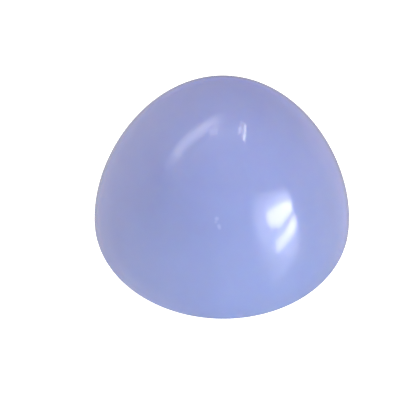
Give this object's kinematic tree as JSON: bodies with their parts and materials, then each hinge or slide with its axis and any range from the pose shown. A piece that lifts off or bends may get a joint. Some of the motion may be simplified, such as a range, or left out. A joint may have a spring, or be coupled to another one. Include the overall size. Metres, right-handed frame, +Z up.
{
  "type": "blue chalcedony domed cabochon",
  "caption": "Round, high-domed polished chalcedony cabochon with a flat base, a narrow bevelled foot and a smooth crown.",
  "frame": {"origin": "middle of the flat base, on the surface that the stone stands on", "axes": "+Z up through the crown, which is the axis that the dome is turned about; X and Y lie in the base"},
  "size_m": [0.016, 0.016, 0.0105],
  "materials": {
    "polished_chalcedony": "high polish, milky translucent, with a satin ground base"
  },
  "bodies": {
    "root": {"cabochon": "polished_chalcedony"}
  },
  "joints": []
}
